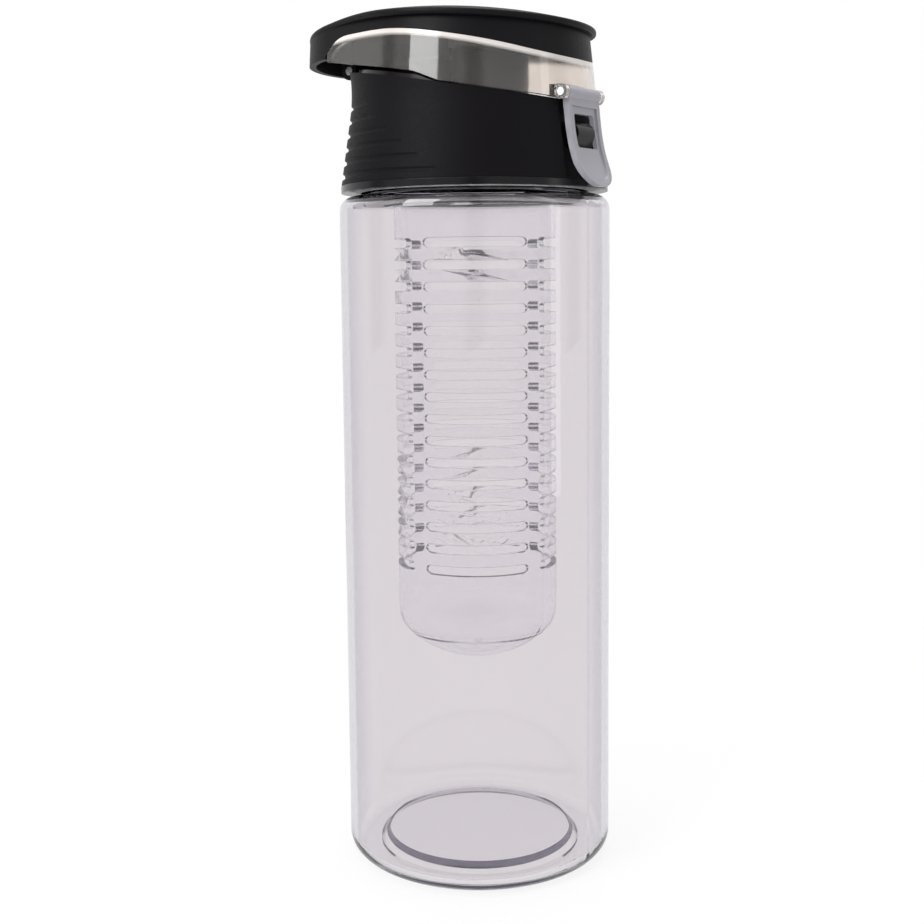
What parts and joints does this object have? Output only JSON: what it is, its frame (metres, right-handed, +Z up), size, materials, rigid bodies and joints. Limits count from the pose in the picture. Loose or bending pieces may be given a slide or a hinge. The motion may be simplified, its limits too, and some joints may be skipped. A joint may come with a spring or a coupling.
{
  "type": "fruit infuser water bottle",
  "caption": "Clear cylindrical bottle with a slotted infuser basket hanging from a screw cap with a round spout, a hinged cover with a beak and a front latch.",
  "frame": {"origin": "on the bottle's axis, on the surface it stands on", "axes": "+Z up along the bottle's axis, +X towards the latch at the front, -X towards the hinge and beak at the back"},
  "size_m": [0.0911, 0.073, 0.2295],
  "materials": {
    "clear_body": "clear copolyester, blown, glossy",
    "clear_basket": "clear copolyester, moulded, glossy",
    "clear_cover": "clear polycarbonate, moulded, glossy",
    "black_gloss": "black polypropylene, moulded, glossy",
    "black_satin": "black polypropylene, moulded, satin",
    "black_soft": "black soft-touch rubber, matte",
    "silicone": "grey silicone, matte",
    "steel": "drawn stainless steel"
  },
  "bodies": {
    "bottle": {"bottle_body": "clear_body"},
    "gasket": {"neck_gasket": "silicone"},
    "cap": {"cap_core": "black_gloss", "grip_sleeve": "black_soft", "spout": "black_satin", "spout_seal_ring": "silicone", "vent_valve": "black_soft", "hinge_pin": "steel"},
    "infuser": {"infuser_basket": "clear_basket"},
    "cover": {"cover_shell": "clear_cover", "cover_top": "black_satin", "spout_plug": "silicone", "latch_pin": "steel"},
    "latch": {"latch": "clear_cover"}
  },
  "joints": [
    {"name": "cap_rise", "type": "slide", "parent": "bottle", "child": "gasket", "axis": [0, 0, 1], "range_m": [0, 0.006]},
    {"name": "cap_turn", "type": "hinge", "parent": "gasket", "child": "cap", "pos_m": [0, 0, 0.19], "axis": [0, 0, 1], "range_deg": [0, 540]},
    {"name": "infuser_twist", "type": "hinge", "parent": "cap", "child": "infuser", "pos_m": [0, 0, 0.19], "axis": [0, 0, 1], "range_deg": [0, 30]},
    {"name": "cover_hinge", "type": "hinge", "parent": "cap", "child": "cover", "pos_m": [-0.036, 0, 0.2163], "axis": [0, -1, 0], "range_deg": [0, 100]},
    {"name": "latch_pivot", "type": "hinge", "parent": "cover", "child": "latch", "pos_m": [0.0336, 0, 0.2047], "axis": [0, -1, 0], "range_deg": [-4, 95]}
  ],
  "couplings": [
    {"joint": "cap_rise", "follows": "cap_turn", "m_per_rad": 0.00063662}
  ]
}
